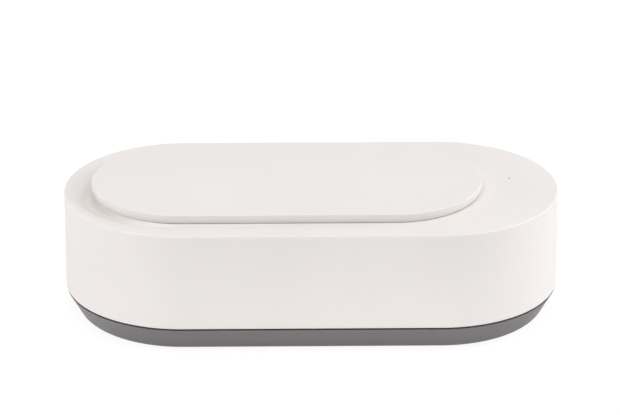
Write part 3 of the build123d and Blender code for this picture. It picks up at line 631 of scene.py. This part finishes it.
class CLEANER_OT_bath(bpy.types.Operator):
    """Models the drawn steel tank"""

    bl_idname = "cleaner.bath"
    bl_label = "Make bath"

    def execute(self, context):
        bath = context.scene.cleaner_bath
        bm = bmesh.new()
        flange_top = tank_high.z
        floor = tank_low.z + bath.wall
        flange = oval_in_box(tank_low, tank_high, 0.0, flange_top)
        mouth = oval_in_box(tank_low, tank_high, bath.inset, flange_top)
        base = oval_in_box(tank_low, tank_high, bath.inset + bath.draft, floor)
        slope = bath.draft / (flange_top - floor)
        ovals = [flange._replace(z=flange_top - bath.wall), flange]
        mouth_round = bath.mouth_round
        ovals += corner(mouth, -mouth_round, mouth_round, mouth_round, steps=4, start=90, turn=90)
        turn = bath.bottom_round
        knee = corner(base, turn, -turn, turn, steps=KNEE_STEPS, start=0, turn=-90)
        inner = ovals + [o._replace(radius=o.radius + slope * (o.z - floor)) for o in knee]
        under = base._replace(z=floor - bath.wall)
        outer_turn = turn + bath.wall
        outer_knee = corner(under, turn, -outer_turn, outer_turn, steps=KNEE_STEPS, start=-90, turn=90)
        outer = [o._replace(radius=o.radius + slope * (o.z - floor)) for o in outer_knee]
        outer.append(mouth._replace(radius=mouth.radius + bath.wall, z=flange_top - bath.wall))
        loft(bm, inner, TANK_SEGMENTS, end_cap=True)
        loft(bm, outer, TANK_SEGMENTS, start_cap=True)
        rims = [edge for edge in bm.edges if edge.is_boundary]
        bmesh.ops.bridge_loops(bm, edges=rims)
        drawn = (0.06, 1.0, 1.0)
        steel = metal(
            "drawn_steel", bath.steel, roughness=0.30, stretch=drawn, grain=2200.0, relief=0.00001
        )
        add_piece("steel_tank", bm, "housing", steel, ["tank"], crease=50.0)
        return {"FINISHED"}


class CLEANER_OT_basket(bpy.types.Operator):
    """Finishes the lens basket, its caps and their pins"""

    bl_idname = "cleaner.basket"
    bl_label = "Make lens basket"

    def execute(self, context):
        colours = context.scene.cleaner_basket
        basket = moulded("basket_plastic", colours.basket, roughness=0.30, grain=1400.0, relief=0.00001)
        dress(basket, "lens_basket")
        cap = moulded("cap_plastic", colours.cap, roughness=0.26, grain=1400.0, relief=0.00001)
        dress(cap, "lens_cap_left", "lens_cap_right")
        dress(metal("pin_steel", colours.pin, roughness=0.25), "cap_pins", "socket_pin")
        return {"FINISHED"}


class CLEANER_OT_touch_end(bpy.types.Operator):
    """Models the light's lens in the deck"""

    bl_idname = "cleaner.touch_end"
    bl_label = "Make light"

    def execute(self, context):
        housing = context.scene.cleaner_housing
        bm = bmesh.new()
        centre = ((light_low.x + light_high.x) / 2, (light_low.y + light_high.y) / 2, 0)
        radius, crown = housing.light_radius, housing.light_crown
        curve = (radius**2 + crown**2) / (2 * crown)
        half_angle = 90 - degrees(acos(radius / curve))
        profile = [(0.0, light_low.z), (radius, light_low.z), (radius, light_high.z)]
        sphere_z = light_high.z + crown - curve
        profile += arc(0.0, sphere_z, curve, start=90 - half_angle, turn=half_angle, steps=5)[1:]
        turned(bm, profile, centre, (0, 0, 1), LIGHT_SEGMENTS)
        acrylic = clear("light_acrylic", housing.light, roughness=0.2)
        add_piece("light_lens", bm, "housing", acrylic, ["light_pipe"])
        return {"FINISHED"}


class CLEANER_OT_inner_parts(bpy.types.Operator):
    """Finishes the electronics, fasteners and leads inside the housing"""

    bl_idname = "cleaner.inner_parts"
    bl_label = "Finish inner parts"

    def execute(self, context):
        colours = context.scene.cleaner_inner
        zinc = metal("zinc_screws", colours.zinc, roughness=0.35)
        dress(zinc, "base_screws", "clamp_screws", "board_screws", "control_screws")
        clamp = moulded("frame_plastic", colours.clamp, roughness=0.5, grain=1200.0, relief=0.00002)
        dress(clamp, "clamp_frame")
        epoxy = moulded("cast_epoxy", colours.epoxy, roughness=0.25, grain=500.0, relief=0.00003)
        dress(epoxy, "bond_pad")
        ceramic = moulded("fired_ceramic", colours.ceramic, roughness=0.55, grain=2500.0, relief=0.00002)
        dress(ceramic, "piezo_disc")
        mask = moulded("board_mask", colours.mask, roughness=0.35, grain=900.0, relief=0.00001, swing=0.06)
        dress(mask, "main_board", "control_board")
        aluminium = metal("extruded_aluminium", colours.aluminium, roughness=0.38, stretch=(1.0, 1.0, 0.05))
        dress(aluminium, "heat_sink")
        chip = moulded("chip_mould", colours.chip, roughness=0.55, grain=2500.0, relief=0.00002)
        dress(chip, "power_transistors", "controller_chip")
        ferrite = moulded("sintered_ferrite", colours.ferrite, roughness=0.6, grain=1800.0, relief=0.00004)
        dress(ferrite, "transformer_core", "drum_inductor")
        turns = (1.0, 1.0, 14.0)
        wire = metal(
            "enamelled_wire", colours.winding, roughness=0.3, stretch=turns, grain=260.0, relief=0.0002
        )
        dress(wire, "transformer_winding")
        sleeve = moulded("shrunk_sleeve", colours.sleeve, roughness=0.2, grain=700.0, relief=0.00001)
        dress(sleeve, "filter_capacitors")
        nylon = moulded("connector_nylon", colours.nylon, roughness=0.4, grain=1500.0, relief=0.00001)
        dress(nylon, "board_connectors")
        dress(rubbery("pad_foam", colours.foam), "touch_pad")
        dress(clear("led_resin", colours.resin, roughness=0.1), "indicator_led")
        socket = moulded("socket_mould", colours.socket, roughness=0.42, grain=1500.0, relief=0.00002)
        dress(socket, "power_socket")
        dress(metal("nickel_brass", colours.brass, roughness=0.28), "socket_nut")
        leads = moulded("red_insulation", colours.insulation, roughness=0.4, grain=900.0, relief=0.00001)
        dress(leads, "piezo_leads", "socket_leads", "control_lead")
        return {"FINISHED"}


# ---- Stage ----
Lamp = namedtuple("Lamp", "place size")
LAMPS = {
    "key": Lamp((0, -0.45, 1.25), (1.6, 0.6)),
    "right": Lamp((1.4, 0.25, 0.43), (0.85, 0.8)),
    "left": Lamp((-1.4, -0.15, 0.22), (0.9, 0.4)),
    "front": Lamp((0.1, -1.6, 0.45), (1.4, 0.5)),
}
LOW_STRIP = Lamp((0, -0.088, 0.004), (0.22, 0.004))
LOW_STRIP_AIM = (0, -0.05, 0.010)


def seen_rays(nodes, links):
    """1 for the rays that show a surface: from the camera, off gloss and through glass."""
    path = nodes.new("ShaderNodeLightPath")
    value = path.outputs["Is Camera Ray"]
    for name in ("Is Glossy Ray", "Is Transmission Ray"):
        larger = nodes.new("ShaderNodeMath")
        larger.operation = "MAXIMUM"
        links.new(value, larger.inputs[0])
        links.new(path.outputs[name], larger.inputs[1])
        value = larger.outputs[0]
    return value


def stage_floor(stage):
    """A pale floor that looks white and keeps the device's soft shadow."""
    bm = bmesh.new()
    bmesh.ops.create_grid(bm, x_segments=2, y_segments=2, size=stage.floor / 2)
    mesh = bpy.data.meshes.new("floor")
    bm.to_mesh(mesh)
    bm.free()
    floor = bpy.data.objects.new("floor", mesh)
    bpy.context.scene.collection.objects.link(floor)
    material = bpy.data.materials.new("floor_white")
    material.use_nodes = True
    nodes, links = material.node_tree.nodes, material.node_tree.links
    nodes.clear()
    output = nodes.new("ShaderNodeOutputMaterial")
    seen = seen_rays(nodes, links)
    bounce = nodes.new("ShaderNodeBsdfDiffuse")
    bounce.inputs["Color"].default_value = (*[stage.floor_bounce] * 3, 1)
    faint = nodes.new("ShaderNodeBsdfDiffuse")
    faint.inputs["Color"].default_value = (*[stage.floor_shade] * 3, 1)
    glow = nodes.new("ShaderNodeEmission")
    glow.inputs["Strength"].default_value = stage.floor_glow
    lit = nodes.new("ShaderNodeAddShader")
    links.new(faint.outputs[0], lit.inputs[0])
    links.new(glow.outputs[0], lit.inputs[1])
    mix = nodes.new("ShaderNodeMixShader")
    links.new(seen, mix.inputs["Fac"])
    links.new(bounce.outputs[0], mix.inputs[1])
    links.new(lit.outputs[0], mix.inputs[2])
    links.new(mix.outputs[0], output.inputs["Surface"])
    mesh.materials.append(material)


def stage_world(stage):
    """An even pale surround, white where it is seen directly, in gloss or through glass."""
    world = bpy.data.worlds.new("surround")
    bpy.context.scene.world = world
    world.use_nodes = True
    nodes, links = world.node_tree.nodes, world.node_tree.links
    nodes.clear()
    output = nodes.new("ShaderNodeOutputWorld")
    dim = nodes.new("ShaderNodeBackground")
    dim.inputs["Color"].default_value = (1, 1, 1, 1)
    dim.inputs["Strength"].default_value = stage.sky
    white = nodes.new("ShaderNodeBackground")
    white.inputs["Color"].default_value = (1, 1, 1, 1)
    mix = nodes.new("ShaderNodeMixShader")
    links.new(seen_rays(nodes, links), mix.inputs["Fac"])
    links.new(dim.outputs[0], mix.inputs[1])
    links.new(white.outputs[0], mix.inputs[2])
    links.new(mix.outputs[0], output.inputs["Surface"])


def stage_lamp(name, place, aim, size, power):
    """A soft oblong lamp that looks at aim. Gloss shows the white surround and not the lamp."""
    data = bpy.data.lights.new(name, "AREA")
    data.shape = "RECTANGLE"
    data.size, data.size_y = size
    data.energy = power
    lamp = bpy.data.objects.new(name, data)
    bpy.context.scene.collection.objects.link(lamp)
    lamp.visible_camera = False
    lamp.visible_glossy = False
    lamp.location = place
    lamp.rotation_euler = (Vector(aim) - Vector(place)).to_track_quat("-Z", "Y").to_euler()


def stage_camera(stage):
    """The camera circles a point over the floor and looks a little above it."""
    data = bpy.data.cameras.new("camera")
    data.lens = stage.lens
    data.sensor_width = 36.0
    camera = bpy.data.objects.new("camera", data)
    bpy.context.scene.collection.objects.link(camera)
    around, up = stage.camera_azimuth, stage.camera_elevation
    pivot = Vector((0, 0, stage.camera_pivot))
    outwards = Vector((sin(around) * cos(up), -cos(around) * cos(up), sin(up)))
    place = pivot + stage.camera_distance * outwards
    aim = Vector((stage.aim_x, 0, stage.aim_z))
    turn = (aim - place).to_track_quat("-Z", "Y").to_matrix().to_4x4()
    camera.matrix_world = Matrix.Translation(place) @ turn @ Matrix.Rotation(stage.camera_roll, 4, "Z")
    bpy.context.scene.camera = camera


class CLEANER_OT_stage(bpy.types.Operator):
    """Sets up the floor, the surround, the lamps and the camera"""

    bl_idname = "cleaner.stage"
    bl_label = "Make stage"

    def execute(self, context):
        stage = context.scene.cleaner_stage
        context.scene.view_settings.view_transform = "Standard"
        stage_floor(stage)
        stage_world(stage)
        middle = (0, 0, stage.camera_pivot)
        for name, lamp in LAMPS.items():
            stage_lamp(name, lamp.place, middle, lamp.size, getattr(stage, name + "_power"))
        stage_lamp("low", LOW_STRIP.place, LOW_STRIP_AIM, LOW_STRIP.size, stage.low_power)
        stage_camera(stage)
        return {"FINISHED"}


class CLEANER_PT_parts(bpy.types.Panel):
    """Lists the makers of every part"""

    bl_label = "Lens Cleaner"
    bl_space_type = "VIEW_3D"
    bl_region_type = "UI"
    bl_category = "Lens Cleaner"

    def draw(self, context):
        for operator in OPERATORS:
            self.layout.operator(operator.bl_idname)
        for settings in SETTINGS:
            group = getattr(context.scene, settings)
            for name in group.__annotations__:
                self.layout.prop(group, name)


SETTINGS = {
    "cleaner_housing": HousingSettings,
    "cleaner_lid": LidSettings,
    "cleaner_bath": BathSettings,
    "cleaner_basket": BasketSettings,
    "cleaner_inner": InnerSettings,
    "cleaner_stage": StageSettings,
}
OPERATORS = (
    CLEANER_OT_shell,
    CLEANER_OT_lid,
    CLEANER_OT_tray,
    CLEANER_OT_bath,
    CLEANER_OT_basket,
    CLEANER_OT_touch_end,
    CLEANER_OT_inner_parts,
    CLEANER_OT_stage,
)


def register():
    """Adds the settings, the operators and the panel."""
    for group in SETTINGS.values():
        bpy.utils.register_class(group)
    for name, group in SETTINGS.items():
        setattr(bpy.types.Scene, name, PointerProperty(type=group))
    for operator in OPERATORS:
        bpy.utils.register_class(operator)
    bpy.utils.register_class(CLEANER_PT_parts)


def unregister():
    """Takes them out again."""
    bpy.utils.unregister_class(CLEANER_PT_parts)
    for operator in reversed(OPERATORS):
        bpy.utils.unregister_class(operator)
    for name, group in SETTINGS.items():
        delattr(bpy.types.Scene, name)
        bpy.utils.unregister_class(group)


def main():
    """Makes every part."""
    register()
    for operator in OPERATORS:
        family, action = operator.bl_idname.split(".")
        getattr(getattr(bpy.ops, family), action)()


if __name__ == "__main__":
    main()
